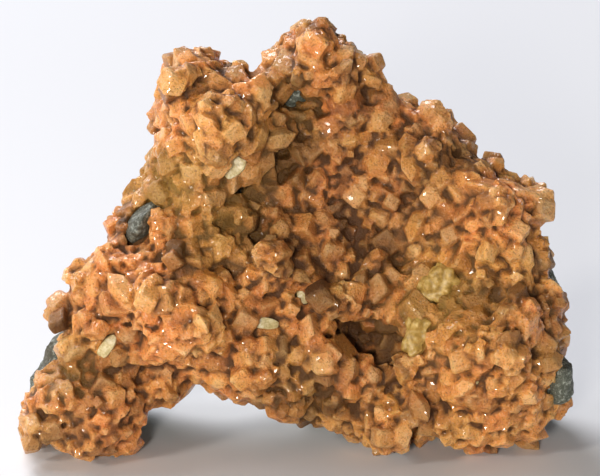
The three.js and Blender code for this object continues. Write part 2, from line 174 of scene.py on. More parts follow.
# %% [markdown]
# Gmelinite is a clear to cloudy zeolite, stained orange by iron. Each crystal differs a little in
# colour and gloss, which is stored with the crystal when it is placed, in a colour attribute
# called growth: red holds its own tint, with painted light at tips and edges, green how brown its
# place is, from iron stain and from painted shade in deep places, gaps, crevices and creases, blue
# how yellow, and alpha how glossy it is. Two ramps give the two hues of the crust, orange and
# ochre, which change slowly from place to place.

# %% The iron stain and painted shade of gmelinite
CLOUD = 3.5 * MM
REGION = 9 * MM
ORANGE = ((0.0, "#b05a20"), (0.28, "#dc7a33"), (0.5, "#f29245"), (0.72, "#fba657"), (1.0, "#ffcb8c"))
OCHRE = ((0.0, "#8e5a20"), (0.28, "#c6822f"), (0.5, "#e09a42"), (0.72, "#edac54"), (1.0, "#f8c97e"))
# Brown of iron stain and of painted shade in deep places, gaps, crevices and creases.
STAIN_AND_SHADE_BROWN = "#4e2b0e"
STAIN_YELLOW = "#b58c38"


def iron_stain_and_shade(m, coords, parts):
    """Orange or ochre by place and tint, then browner, as iron stain and painted shade, and yellower as
    stored on the crystal.
    """
    cloud = add_node(m, "TexNoise", {"Scale": 1 / CLOUD, "Detail": 4, "Roughness": 0.6}, {"Vector": coords})
    tinted = add_node(m, "Math", {}, {0: cloud.outputs["Fac"], 1: parts.outputs["Red"]}, operation="ADD")
    spread = add_node(m, "MapRange", {"From Min": 0.25, "From Max": 1.75}, {"Value": tinted.outputs[0]})
    orange = add_node(m, "ValToRGB", {}, {"Fac": spread.outputs[0]}, ORANGE)
    ochre = add_node(m, "ValToRGB", {}, {"Fac": spread.outputs[0]}, OCHRE)
    region = add_node(m, "TexNoise", {"Scale": 1 / REGION, "Detail": 3}, {"Vector": coords})
    ochre_share = add_node(
        m, "MapRange", {"From Min": 0.38, "From Max": 0.64, "To Max": 0.85}, {"Value": region.outputs["Fac"]}
    )
    own = add_node(
        m, "Mix", {},
        {"Factor": ochre_share.outputs[0], "A": orange.outputs["Color"], "B": ochre.outputs["Color"]},
        **COLOUR_MIX,
    )
    brown = add_node(
        m, "Mix", {"B": linear(STAIN_AND_SHADE_BROWN)},
        {"Factor": parts.outputs["Green"], "A": own.outputs["Result"]}, **COLOUR_MIX,
    )
    return add_node(
        m, "Mix", {"B": linear(STAIN_YELLOW)},
        {"Factor": parts.outputs["Blue"], "A": brown.outputs["Result"]}, **COLOUR_MIX,
    )


# %% [markdown]
# Up close the faces look like sugar. The real grain is too fine for a picture of this size, so it
# is drawn coarser, at 0.4 mm, with pale flecks, a painted highlight, where it stands up and brown
# pits, painted shade, where it lies deep. Brown places, stained and shaded alike, have few flecks.
# The faces are also covered with tiny glassy facets of about 0.5 mm. Modelling each would take
# millions of triangles, so the clear coat gets a normal of its own in each cell of a Voronoi
# pattern: some cells catch the light and glint, as real facets do.

# %% Sugar grain and glassy facets
GRAIN = 0.4 * MM
# Painted highlight on the raised grain, and painted shade in its low spots.
FLECK_HIGHLIGHT_PALE = "#f5dcbc"
PIT_SHADE_BROWN = "#5a3212"
FACET = 0.55 * MM
FACET_TILT = 1.1


def sugared(m, grain, stained, not_brown):
    """Pale flecks, a painted highlight, and brown pits, painted shade, over the base colour."""
    highlight_flecks = add_node(
        m, "MapRange", {"From Min": 0.56, "From Max": 0.72, "To Max": 0.5}, {"Value": grain.outputs["Fac"]}
    )
    shade_pits = add_node(
        m, "MapRange", {"From Min": 0.46, "From Max": 0.3, "To Max": 0.7}, {"Value": grain.outputs["Fac"]}
    )
    highlight_share = add_node(m, "Math", {}, {0: highlight_flecks.outputs[0], 1: not_brown.outputs[0]}, operation="MULTIPLY")
    pale = add_node(
        m, "Mix", {"B": linear(FLECK_HIGHLIGHT_PALE)},
        {"Factor": highlight_share.outputs[0], "A": stained.outputs["Result"]}, **COLOUR_MIX,
    )
    return add_node(
        m, "Mix", {"B": linear(PIT_SHADE_BROWN)},
        {"Factor": shade_pits.outputs[0], "A": pale.outputs["Result"]}, **COLOUR_MIX,
    )


def facet_normal(m, coords):
    """The surface normal, tilted another way in each cell."""
    facets = add_node(m, "TexVoronoi", {"Scale": 1 / FACET}, {"Vector": coords})
    tilt = add_node(
        m, "VectorMath", {1: (0.5, 0.5, 0.5)}, {0: facets.outputs["Color"]}, operation="SUBTRACT"
    )
    outwards = add_node(m, "NewGeometry").outputs["Normal"]
    tilted = add_node(
        m, "VectorMath", {1: (FACET_TILT,) * 3}, {0: tilt.outputs[0], 2: outwards}, operation="MULTIPLY_ADD"
    )
    return add_node(m, "VectorMath", {}, {0: tilted.outputs[0]}, operation="NORMALIZE")


# %% [markdown]
# The whole material: light enters about 0.8 mm, red the furthest, so edges glow and cores look
# deeper. The IOR of gmelinite is 1.48. The facets' IOR is set a little higher, so that their glints
# show at this size. Crystals with less brown, iron stain and painted shade alike, are glassier.

# %% Gmelinite
GLASSY_SHARE = 0.65


def make_gmelinite():
    m = new_material("gmelinite_stain_and_painted_shade")
    coords = add_node(m, "TexCoord").outputs["Object"]
    growth = add_node(m, "Attribute", attribute_name="growth")
    parts = add_node(m, "SeparateColor", links={"Color": growth.outputs["Color"]})
    # Less brown, from stain and from painted shade, gives a glassier coat and more flecks.
    not_brown = add_node(m, "Math", {0: 1.0}, {1: parts.outputs["Green"]}, operation="SUBTRACT")
    grain = add_node(m, "TexNoise", {"Scale": 1 / GRAIN, "Detail": 3, "Roughness": 0.7}, {"Vector": coords})
    colour = sugared(m, grain, iron_stain_and_shade(m, coords, parts), not_brown)
    dull = add_node(m, "MapRange", {"To Min": 0.65, "To Max": 0.35}, {"Value": growth.outputs["Alpha"]})
    bump = add_node(m, "Bump", {"Strength": 1.0, "Distance": 0.4 * MM}, {"Height": grain.outputs["Fac"]})
    glassy = add_node(m, "Math", {1: GLASSY_SHARE}, {0: not_brown.outputs[0]}, operation="MULTIPLY")
    surface = add_node(
        m, "BsdfPrincipled",
        {"IOR": 1.48, "Subsurface Weight": 0.2, "Subsurface Radius": (1.0, 0.45, 0.15),
         "Subsurface Scale": 0.8 * MM, "Coat Roughness": 0.07, "Coat IOR": 1.55},
        {"Base Color": colour.outputs["Result"], "Roughness": dull.outputs[0], "Normal": bump.outputs[0],
         "Coat Normal": facet_normal(m, coords).outputs[0], "Coat Weight": glassy.outputs[0]},
    )
    return finish_material(m, surface)


GMELINITE = make_gmelinite()

# %% [markdown]
# Basalt is a fine dark lava, broken rough. Its grain is too fine to show, so it is drawn at 0.5 mm.
# Where gas bubbles lined the stone it carries pale specks up to 1 mm wide, and here and there a
# rusty stain. Broken faces are dull.

# %% Basalt
PATCH_OF_ROCK = 9 * MM
ROCK_GRAIN = 0.5 * MM
SPECK = 0.9 * MM
ROCK = ((0.3, "#2b2c24"), (0.5, "#4c4f41"), (0.7, "#7f826e"))
ROCK_GRAINS = ((0.35, "#14160f"), (0.52, "#4c5249"), (0.7, "#a9ae9c"))


def make_basalt():
    m = new_material("basalt_broken")
    coords = add_node(m, "TexCoord").outputs["Object"]
    broad = add_node(m, "TexNoise", {"Scale": 1 / PATCH_OF_ROCK, "Detail": 5}, {"Vector": coords})
    fine = add_node(
        m, "TexNoise", {"Scale": 1 / ROCK_GRAIN, "Detail": 4, "Roughness": 0.7}, {"Vector": coords}
    )
    rock = add_node(m, "ValToRGB", {}, {"Fac": broad.outputs["Fac"]}, ROCK)
    grains = add_node(m, "ValToRGB", {}, {"Fac": fine.outputs["Fac"]}, ROCK_GRAINS)
    mixed = add_node(
        m, "Mix", {"Factor": 0.5}, {"A": rock.outputs["Color"], "B": grains.outputs["Color"]}, **COLOUR_MIX
    )
    specks = add_node(m, "TexNoise", {"Scale": 1 / SPECK, "Detail": 5, "Roughness": 0.75}, {"Vector": coords})
    places = add_node(m, "MapRange", {"From Min": 0.3, "From Max": 0.6}, {"Value": broad.outputs["Fac"]})
    pale = add_node(
        m, "MapRange", {"From Min": 0.53, "From Max": 0.6, "To Max": 0.7}, {"Value": specks.outputs["Fac"]}
    )
    speckled = add_node(m, "Math", {}, {0: pale.outputs[0], 1: places.outputs[0]}, operation="MULTIPLY")
    rust = add_node(
        m, "MapRange", {"From Min": 0.5, "From Max": 0.36, "To Max": 0.45}, {"Value": broad.outputs["Fac"]}
    )
    stained = add_node(
        m, "Mix", {"B": linear("#5d4a30")},
        {"Factor": rust.outputs[0], "A": mixed.outputs["Result"]}, **COLOUR_MIX,
    )
    colour = add_node(
        m, "Mix", {"B": linear("#c3c8bb")},
        {"Factor": speckled.outputs[0], "A": stained.outputs["Result"]}, **COLOUR_MIX,
    )
    bump = add_node(m, "Bump", {"Strength": 0.8, "Distance": 0.3 * MM}, {"Height": fine.outputs["Fac"]})
    surface = add_node(
        m, "BsdfPrincipled", {"Roughness": 0.62, "IOR": 1.55},
        {"Base Color": colour.outputs["Result"], "Normal": bump.outputs[0]},
    )
    return finish_material(m, surface)


BASALT = make_basalt()

# %% [markdown]
# The pale blades are taken for stilbite, a clear to milky zeolite with a pearly face. The flakes
# are a waxy yellow-green film of clay. Both are cloudy and let light in about a millimetre, so one
# function makes them, with colours, cloud size and gloss of their own.

# %% Stilbite and clay film
def make_waxy(name, colours, cloud, roughness, depth):
    m = new_material(name)
    coords = add_node(m, "TexCoord").outputs["Object"]
    clouds = add_node(m, "TexNoise", {"Scale": 1 / cloud, "Detail": 5, "Roughness": 0.65}, {"Vector": coords})
    stops = list(zip((0.32, 0.5, 0.7), colours))
    colour = add_node(m, "ValToRGB", {}, {"Fac": clouds.outputs["Fac"]}, stops)
    bump = add_node(m, "Bump", {"Strength": 0.5, "Distance": 0.1 * MM}, {"Height": clouds.outputs["Fac"]})
    surface = add_node(
        m, "BsdfPrincipled",
        {"IOR": 1.5, "Roughness": roughness, "Subsurface Weight": 0.35,
         "Subsurface Radius": (1.0, 0.8, 0.5), "Subsurface Scale": depth},
        {"Base Color": colour.outputs["Color"], "Normal": bump.outputs[0]},
    )
    return finish_material(m, surface)


STILBITE = make_waxy("stilbite_milky", ("#a8945c", "#cdbb88", "#eadfba"), 0.8 * MM, 0.3, 1.2 * MM)
CLAY = make_waxy("clay_film_yellow_green", ("#8a6c30", "#b4924a", "#d6b874"), 1.0 * MM, 0.4, 1.0 * MM)

# %% [markdown]
# One crystal is modelled once and copied thousands of times, so it has few faces. Most crystals
# here look like leaning cubes: a cube stood on a corner and pressed a little flat. A bevel cuts
# the edges of the larger ones off, which gives every edge a bright line.

# %% A cube on its corner
EDGE_OF_THE_CUBE = 2 / math.sqrt(3)
CORNER_TILT = math.atan(math.sqrt(2))
EDGE_BEVEL = 0.11


def cube_on_corner(flatness, bevel):
    """A cube of corner radius 1 standing on a corner, its edges cut off by a bevel."""
    nothing_selected()
    bpy.ops.mesh.primitive_cube_add(size=EDGE_OF_THE_CUBE)
    obj = bpy.context.object
    if bevel > 0:
        bpy.ops.object.mode_set(mode="EDIT")
        bpy.ops.mesh.select_all(action="SELECT")
        bpy.ops.mesh.bevel(offset=bevel, segments=1, affect="EDGES")
        bpy.ops.object.mode_set(mode="OBJECT")
    stand = Matrix.Rotation(-CORNER_TILT, 4, "X") @ Matrix.Rotation(math.pi / 4, 4, "Z")
    obj.data.transform(Matrix.Diagonal((1, 1, flatness, 1)) @ stand)
    return obj


# %% [markdown]
# The textbook crystal of the species is a six-sided double pyramid with flat ends. A cone with a
# cut tip gives half of it, and a mirror makes the rest. Both halves end in a flat base where they
# meet, so those two faces are deleted and the rims are merged. That leaves one closed skin.

# %% A six-sided double pyramid
NEARLY_STRAIGHT = 0.9
WELD = 1e-4


def select_faces(obj, wanted):
    """In edit mode, selects the faces for which wanted(face) is true."""
    bpy.ops.mesh.select_mode(type="FACE")
    bpy.ops.mesh.select_all(action="DESELECT")
    bpy.ops.object.mode_set(mode="OBJECT")
    for face in obj.data.polygons:
        face.select = wanted(face)
    bpy.ops.object.mode_set(mode="EDIT")


def six_sided():
    """A double pyramid of radius 1 with flat ends."""
    nothing_selected()
    bpy.ops.mesh.primitive_cone_add(vertices=6, radius1=1, radius2=0.42, depth=0.5, location=(0, 0, 0.25))
    obj = bpy.context.object
    bpy.ops.object.transform_apply(location=True)
    apply_modifier(obj, "MIRROR", use_axis=(False, False, True), use_clip=True)
    bpy.ops.object.mode_set(mode="EDIT")
    select_faces(obj, lambda face: abs(face.center.z) < WELD and abs(face.normal.z) > NEARLY_STRAIGHT)
    bpy.ops.mesh.delete(type="ONLY_FACE")
    bpy.ops.mesh.select_all(action="SELECT")
    bpy.ops.mesh.remove_doubles(threshold=WELD)
    bpy.ops.object.mode_set(mode="OBJECT")
    return obj


# %% [markdown]
# Thousands of separate objects would be slow, so each shape is kept as a list of points and a list
# of triangles, which can be copied into one large mesh. There are two cubes, one flatter than the
# other, the double pyramid, and a cube without a bevel for the small crystals.

# %% The shapes as points and triangles
def points_and_triangles(obj):
    """Turns the normals outwards and the faces to triangles, and takes the shape out of the scene."""
    only(obj)
    bpy.ops.object.mode_set(mode="EDIT")
    bpy.ops.mesh.select_all(action="SELECT")
    bpy.ops.mesh.normals_make_consistent(inside=False)
    bpy.ops.mesh.quads_convert_to_tris()
    bpy.ops.object.mode_set(mode="OBJECT")
    points = np.array([v.co[:] for v in obj.data.vertices])
    corners = np.array([f.vertices[:] for f in obj.data.polygons])
    bpy.data.objects.remove(obj)
    return points, corners


SHAPES = [
    points_and_triangles(cube_on_corner(0.95, EDGE_BEVEL)),
    points_and_triangles(cube_on_corner(0.85, 1.5 * EDGE_BEVEL)),
    points_and_triangles(six_sided()),
]
PLAIN_SHAPES = [points_and_triangles(cube_on_corner(0.95, 0))]
print("crystal shapes, triangles each:", [len(corners) for _, corners in SHAPES + PLAIN_SHAPES])

# %% [markdown]
# The crust isn't one colour. Knobs and lobes that stand out are painted lighter, and the sunken
# middle, the hollows, the clefts and the underside are painted browner: partly iron stain and
# partly painted light and shade by how far a place stands out or lies back. A few places are
# yellowish, such as around the flakes. Each patch is a soft round area: a place on the face in
# millimetres, a reach, and how much browner or yellower it is there.

# %% Where the crust is browner or yellower
PATCHES = [
    {"name": "sunken middle", "at": (7, 41), "reach": 15, "brown": 0.33, "yellow": 0.0},
    {"name": "deep hollow", "at": (11, 20), "reach": 7, "brown": 0.25, "yellow": 0.0},
    {"name": "upper right slope", "at": (24, 46), "reach": 9, "brown": 0.2, "yellow": 0.05},
    {"name": "notch left of the middle", "at": (-12, 40), "reach": 7, "brown": 0.22, "yellow": 0.3},
    {"name": "left edge under the knob", "at": (-22, 46), "reach": 6, "brown": 0.0, "yellow": 0.55},
    {"name": "around the flakes", "at": (23, 26), "reach": 7, "brown": 0.1, "yellow": 0.5},
    {"name": "lower left corner", "at": (-37, 15), "reach": 5, "brown": 0.0, "yellow": 0.3},
    {"name": "foot", "at": (-36, 8), "reach": 9, "brown": 0.12, "yellow": 0.0},
    {"name": "underside", "at": (0, 8), "reach": 9, "brown": 0.22, "yellow": 0.1},
    {"name": "right edge", "at": (42, 22), "reach": 8, "brown": 0.12, "yellow": 0.1},
    {"name": "knob", "at": (-14, 57), "reach": 8, "brown": -0.25, "yellow": 0.0},
    {"name": "right lobe", "at": (33, 41), "reach": 8, "brown": -0.25, "yellow": 0.0},
    {"name": "lower right lobe", "at": (32, 18), "reach": 9, "brown": -0.2, "yellow": 0.0},
    {"name": "lower middle", "at": (-1, 12), "reach": 8, "brown": 0.15, "yellow": 0.0},
    {"name": "cleft, upper end", "at": (-0.5, 58), "reach": 5, "brown": 0.4, "yellow": 0.2},
    {"name": "cleft, lower end", "at": (-4, 49), "reach": 5, "brown": 0.3, "yellow": 0.1},
    {"name": "left lobe", "at": (-20, 25), "reach": 10, "brown": -0.25, "yellow": 0.0},
]
BROWN_EVERYWHERE = 0.17
YELLOW_EVERYWHERE = 0.03


def place_colour(point):
    """How brown, from iron stain and painted shade, and how yellow the crust is at a point of the frame."""
    x, y, _ = on_plane(point)
    brown, yellow = BROWN_EVERYWHERE, YELLOW_EVERYWHERE
    for patch in PATCHES:
        away = math.hypot(x - patch["at"][0], y - patch["at"][1]) / patch["reach"]
        share = math.exp(-away * away)
        brown += patch["brown"] * share
        yellow += patch["yellow"] * share
    return min(max(brown, 0), 1), min(max(yellow, 0), 1)


in_the_hollow = PLANE @ (Vector((11, 20, 0)) * MM)
print("brown and yellow in the deep hollow:", np.round(place_colour(in_the_hollow), 2))

# %% [markdown]
# Deep between the knobs the crystals are painted browner too: partly iron stain, which gathers
# there, and partly painted shade, as ambient occlusion would give. How deep a spot lies is measured
# with a handful of short rays: the more of them hit the crust, the deeper.
# The rays fan out evenly along a spiral, like seeds in a sunflower.

# %% How deep a spot lies
def tree_of(node):
    mesh = bpy.data.objects[node].data
    return BVHTree.FromPolygons([v.co for v in mesh.vertices], [f.vertices for f in mesh.polygons])


CRUST_TREE = tree_of("gmelinite_crust")
RAYS = 14
RAY_REACH = 7 * MM
RAY_START = 1.6 * MM
FAN_OPENING = 0.8
DEPTH_POWER = 1.5


def fan_of_rays():
    golden = math.pi * (3 - math.sqrt(5))
    for i in range(RAYS):
        up = 1 - FAN_OPENING * (i + 0.5) / RAYS
        side = math.sqrt(1 - up * up)
        yield Vector((side * math.cos(golden * i), side * math.sin(golden * i), up))


FAN = list(fan_of_rays())


def shut_in(point, outwards):
    """Share of short rays from just over a spot that hit the crust, and deep spots count more."""
    turn = outwards.to_track_quat("Z", "Y")
    start = point + outwards * RAY_START
    hits = sum(CRUST_TREE.ray_cast(start, turn @ ray, RAY_REACH)[0] is not None for ray in FAN)
    return (hits / RAYS) ** DEPTH_POWER


print("rays in the fan:", len(FAN))

# %% [markdown]
# Crystals are sown on the outside of the crust like seeds: a random point on a random triangle,
# kept if it isn't too close to one already there. A grid of boxes as wide as the spacing makes
# that quick, because only a point's own box and the boxes around it have to be looked into.

# %% Sowing
AROUND_A_BOX = [(i, j, k) for i in (-1, 0, 1) for j in (-1, 0, 1) for k in (-1, 0, 1)]
SMALLEST_AREA = 1e-12


def random_points(mesh, tries):
    """Random points on a mesh and their normals, as many to each square millimetre everywhere."""
    mesh.calc_loop_triangles()
    corners = np.array([[mesh.vertices[i].co[:] for i in f.vertices] for f in mesh.loop_triangles])
    normals = np.cross(corners[:, 1] - corners[:, 0], corners[:, 2] - corners[:, 0])
    areas = np.linalg.norm(normals, axis=1)
    normals = normals / np.maximum(areas, SMALLEST_AREA)[:, None]
    picks = rng.choice(len(corners), size=tries, p=areas / areas.sum())
    a, b = rng.random((2, tries))
    flip = a + b > 1
    a[flip], b[flip] = 1 - a[flip], 1 - b[flip]
    points = corners[picks, 0] * (1 - a - b)[:, None] + corners[picks, 1] * a[:, None]
    return points + corners[picks, 2] * b[:, None], normals[picks]


def sow(mesh, tries, spacing, wanted):
    """Random spots on a mesh with their normals, none closer than the spacing."""
    kept, boxes = [], {}
    for point, normal in zip(*random_points(mesh, tries)):
        key = tuple(np.floor(point / spacing).astype(int))
        around = [(key[0] + i, key[1] + j, key[2] + k) for i, j, k in AROUND_A_BOX]
        if any(np.linalg.norm(point - other) < spacing for box in around for other in boxes.get(box, ())):
            continue
        if not wanted(Vector(point), Vector(normal)):
            continue
        boxes.setdefault(key, []).append(point)
        kept.append((Vector(point), Vector(normal)))
    return kept


# %% [markdown]
# The crust is made of clumps of nearly parallel crystals, 5 to 6 mm wide. The crevice between one
# clump and the next is painted brown, as painted shade. A Voronoi pattern gives the clumps: all
# spots nearest to the same middle share one turn, and each crystal then leans and spins a little by
# itself.

# %% Clumps
CLUMP = 5.5 * MM
CREVICE_STARTS = 0.35
CREVICE_WIDTH = 0.4
CLUMP_LEAN = 70
CLUMP_TURNS = {}


def leaning(most_lean):
    """A rotation that leans Z by up to most_lean degrees, at any angle about it."""
    lean = math.radians(most_lean) * math.sqrt(rng.random())
    about = rng.random() * math.tau
    return Matrix.Rotation(about, 3, "Z") @ Matrix.Rotation(lean, 3, "X")


def spinning(most_spin):
    return Matrix.Rotation(math.radians(most_spin) * (2 * rng.random() - 1), 3, "Z")


def clump_at(point):
    """Middle of the clump a point belongs to, and how far into a crevice the point is, from 0 to 1."""
    away, middles = noise.voronoi(Vector(point) / CLUMP)
    crevice = min(max((away[0] - CREVICE_STARTS) / CREVICE_WIDTH, 0), 1)
    return tuple(round(value, 2) for value in middles[0]), crevice


def crystal_turn(outwards, clump, own_lean):
    if clump not in CLUMP_TURNS:
        upright = outwards.to_track_quat("Z", "Y").to_matrix()
        CLUMP_TURNS[clump] = upright @ leaning(CLUMP_LEAN) @ spinning(180)
    return CLUMP_TURNS[clump] @ leaning(own_lean) @ spinning(own_lean)


# %% [markdown]
# Every crystal is sunk part way, so only its corner shows. It is stretched and made uneven a
# little, because no real crystal is a perfect solid, and it is kept inside the box of the solids,
# so the specimen doesn't grow. Its colours are stored at its corners: painted light at the tip, and
# browner at the foot, in crevices and in deep places, which is painted shade, with some iron stain
# in the deep places. Each copy is a closed shape with its faces outwards, so all of them can be one
# mesh.

# %% Growing a crystal on every spot
# A power over one makes small sizes, or dull crystals, a little more common than the rest.
SIZE_POWER = 1.2
GLOSS_POWER = 1.3
STRETCH = (0.82, 1.18)
UNEVEN = {"scale": 1.3 * MM, "reach": 0.16 * MM}
TINT = {"least": 0.2, "spread": 0.6}
# Painted light at a crystal's tip, and painted shade at its foot, in deep places and in crevices.
TIP_LIGHT_PAINTED = 0.2
BASE_SHADE_BROWNER = 0.35
DEEP_SHADE_BROWNER = 0.75
CREVICE_SHADE_BROWNER = 0.5


def made_uneven(point):
    """A point moved a little by a slow noise."""
    return point + UNEVEN["reach"] * np.array(noise.noise_vector(Vector(point) / UNEVEN["scale"]))


def crystal_colours(spot, outwards, crevice, height):
    """Tint with painted light at the tip, brown with painted shade at the foot, yellow and gloss at each
    corner of a crystal. Height runs from -1 to 1.
    """
    brown, yellow = place_colour(spot)
    # Browner in deep places and in crevices: painted shade, with some iron stain in the deep places.
    brown += DEEP_SHADE_BROWNER * shut_in(spot, outwards) + CREVICE_SHADE_BROWNER * crevice
    tint = TINT["least"] + TINT["spread"] * rng.random()
    own = np.tile([tint, brown, yellow, rng.random() ** GLOSS_POWER], (len(height), 1))
    # Painted light at the tip, painted shade at the foot.
    own[:, 0] += TIP_LIGHT_PAINTED * height
    own[:, 1] -= BASE_SHADE_BROWNER * height
    return np.clip(own, 0, 1)


def grow(spots, shapes, sizes, sunk, own_lean):
    """Points, triangles and stored colours of a crystal on every spot."""
    points, corners, stored, count = [], [], [], 0
    for spot, outwards in spots:
        shape, faces = shapes[rng.integers(len(shapes))]
        radius = (sizes[0] + (sizes[1] - sizes[0]) * rng.random() ** SIZE_POWER) * MM
        stretch = Matrix.Diagonal(Vector(rng.uniform(*STRETCH, 3)) * radius)
        centre = spot - outwards * radius * rng.uniform(*sunk)
        clump, crevice = clump_at(spot)
        turn = np.array(crystal_turn(outwards, clump, own_lean) @ stretch)
        placed = shape @ turn.T
        uneven = [made_uneven(point) for point in placed + np.array(centre)]
        points.append(np.clip(uneven, cad_box[0], cad_box[1]))
        corners.append(faces + count)
        stored.append(crystal_colours(spot, outwards, crevice, placed @ np.array(outwards) / radius))
        count += len(shape)
    return np.vstack(points), np.vstack(corners), np.vstack(stored)


def sow_and_grow(mesh, wanted, shapes, tries, spacing, sizes, sunk, own_lean):
    spots = sow(mesh, tries, spacing, wanted)
    batch = grow(spots, shapes, sizes, sunk, own_lean)
    print("crystals:", len(spots), "of", sizes, "mm radius,", len(batch[1]), "triangles")
    return batch


# %% [markdown]
# The stone and the crust both start from a copy of their solid. The solid is loose triangles of
# very different sizes, so the copy is merged, and a voxel remesh then gives it an even skin of
# small faces. A remesh can leave crumbs beside the piece, so only the largest part is kept.

# %% Helpers for a copy of a solid
MERGE_DISTANCE = 1e-6


def copy_of_node(node, name):
    """A merged copy of a node of the solid model, as an object of its own."""
    source = bpy.data.objects[node]
    copy = bpy.data.objects.new(name, source.data.copy())
    bpy.context.collection.objects.link(copy)
    copy.data.materials.clear()
    only(copy)
    bpy.ops.object.mode_set(mode="EDIT")
    bpy.ops.mesh.select_all(action="SELECT")
    bpy.ops.mesh.remove_doubles(threshold=MERGE_DISTANCE)
    bpy.ops.object.mode_set(mode="OBJECT")
    return copy


def keep_largest_part(obj):
    """Drops the crumbs that a remesh leaves where a wall was thinner than its grain."""
    only(obj)
    bpy.ops.object.mode_set(mode="EDIT")
    bpy.ops.mesh.select_all(action="SELECT")
    bpy.ops.mesh.separate(type="LOOSE")
    bpy.ops.object.mode_set(mode="OBJECT")
    parts = sorted(bpy.context.selected_objects, key=lambda part: len(part.data.polygons))
    name = obj.name
    for crumb in parts[:-1]:
        bpy.data.objects.remove(crumb)
    parts[-1].name = name
    print(name, "keeps one part of", len(parts))
    return only(parts[-1])


# %% [markdown]
# A displacement pushes the even skin in and out by a pattern of cells or clouds. Each point has a
# weight from 0 to 1 that says how far it may be pushed. The faces that the specimen stands on have
# no weight, so they stay flat and it doesn't rock.

# %% Relief
FLAT_BELOW = 0.4 * MM
RELIEF_RISES_OVER = 1.6 * MM


def displace(obj, weight, kind, size, depth, middle):
    """Pushes the surface in and out by a pattern, as far as weight(point) allows."""
    group = obj.vertex_groups.new(name="pushed")
    for vertex in obj.data.vertices:
        group.add([vertex.index], min(max(weight(vertex.co), 0), 1), "REPLACE")
    texture = bpy.data.textures.new(kind.lower(), kind)
    texture.noise_scale = size
    apply_modifier(
        obj, "DISPLACE", texture=texture, texture_coords="LOCAL", strength=depth, mid_level=middle,
        vertex_group=group.name,
    )
    obj.vertex_groups.clear()
    bpy.data.textures.remove(texture)


def above_ground(point):
    """Nothing at the faces that the specimen stands on, rising to one 2 mm over them."""
    return (point.z - FLAT_BELOW) / RELIEF_RISES_OVER


# %% [markdown]
# The basalt could keep the solid's flat facets, but a broken lava is uneven down to the grain.
# Three displacements give it that: broad chips first, then the dents of gas bubbles, then grains.
# Chips and bubbles are shallower beside the crust, so that the stone doesn't break through it.

# %% The basalt
BASALT_VOXEL = 0.6 * MM
CHIPS = {"size": 9 * MM, "depth": 3.0 * MM, "middle": 0.55}
BUBBLES = {"size": 3.4 * MM, "depth": 1.1 * MM, "middle": 0.6}
GRAINS = {"size": 1.2 * MM, "depth": 0.5 * MM, "middle": 0.6}
RELIEF_AT_THE_CRUST = 0.3
RELIEF_GROWS_OVER = 4 * MM


def open_stone(point):
    """Full relief on the open back of the stone, less beside the crust, none on the ground."""
    off_the_crust = CRUST_TREE.find_nearest(point)[3]
    return min(above_ground(point), off_the_crust / RELIEF_GROWS_OVER + RELIEF_AT_THE_CRUST)


basalt = copy_of_node("basalt_matrix", "basalt_broken_stone")
apply_modifier(basalt, "REMESH", mode="VOXEL", voxel_size=BASALT_VOXEL)
basalt = keep_largest_part(basalt)
displace(basalt, open_stone, "VORONOI", **CHIPS)
displace(basalt, open_stone, "VORONOI", **BUBBLES)
displace(basalt, above_ground, "CLOUDS", **GRAINS)
basalt.data.materials.append(BASALT)
print("basalt:", triangles(basalt), "triangles")
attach(basalt, "root")
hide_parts("basalt_matrix")

# %% [markdown]
# The body of the crust shows at the bottom of the gaps between crystals. Left smooth it would look
# like clay there, so it is pushed out into lumps as wide as a clump of crystals. The lumps stay
# clear of the pale pieces, which they would bury. Before that, one light smoothing takes off the
# steps that a remesh leaves on slanting faces.

# %% The body of the crust
CRUST_VOXEL = 0.85 * MM
SMOOTHING = {"factor": 0.5, "repeat": 1}
LUMPS = {"size": CLUMP, "depth": -2.6 * MM, "middle": 0.5}
CLEAR_OF_PALE = 1.0 * MM
PALE_TREES = [tree_of(node) for node in sorted(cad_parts) if node.startswith(("pale", "yellow"))]


def lumpy(point):
    """Full lumps everywhere but on the ground and beside the pale pieces."""
    away = min(tree.find_nearest(point)[3] for tree in PALE_TREES)
    return min(above_ground(point), (away - CLEAR_OF_PALE) / (2 * CLEAR_OF_PALE))


crust = copy_of_node("gmelinite_crust", "gmelinite_crystals")
apply_modifier(crust, "REMESH", mode="VOXEL", voxel_size=CRUST_VOXEL)
bpy.ops.object.mode_set(mode="EDIT")
bpy.ops.mesh.select_all(action="SELECT")
bpy.ops.mesh.vertices_smooth(**SMOOTHING)
bpy.ops.object.mode_set(mode="OBJECT")
displace(crust, lumpy, "VORONOI", **LUMPS)
crust = keep_largest_part(crust)
print("body of the crust:", triangles(crust), "triangles")

# %% [markdown]
# Three batches are sown. Medium crystals, 3 to 7 mm from corner to corner, cover the crust, and
# small ones stand at all angles in the gaps between them. A lining of small ones covers the front
# of the basalt where the crust has a gap, apart from two bare places where the dark stone shows.
# A short ray straight out tells whether the basalt or a pale piece lies against a spot of the
# crust, and such a spot stays empty.

# %% Crystals on the crust
MEDIUM = {"tries": 50000, "spacing": 2.6 * MM, "sizes": (1.7, 3.6), "sunk": (0.0, 0.45), "own_lean": 25}
SMALL = {"tries": 40000, "spacing": 1.7 * MM, "sizes": (0.9, 1.7), "sunk": (-0.1, 0.3), "own_lean": 60}
LINING = {"tries": 9000, "spacing": 1.9 * MM, "sizes": (0.7, 1.4), "sunk": (0.1, 0.4), "own_lean": 80}
NEIGHBOURS = [tree_of(node) for node in sorted(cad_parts) if node != "gmelinite_crust"]
CLEAR_AHEAD = 1.3 * MM
OFF_THE_SKIN = 0.02 * MM
GROUND_CLEARANCE = 0.4 * MM
FACES_THE_FRONT = 0.3
LINED_REACH = 3 * MM
BARE = [{"at": (-24.8, 39.4), "reach": 4.5}, {"at": (42.2, 13.8), "reach": 5.0}]


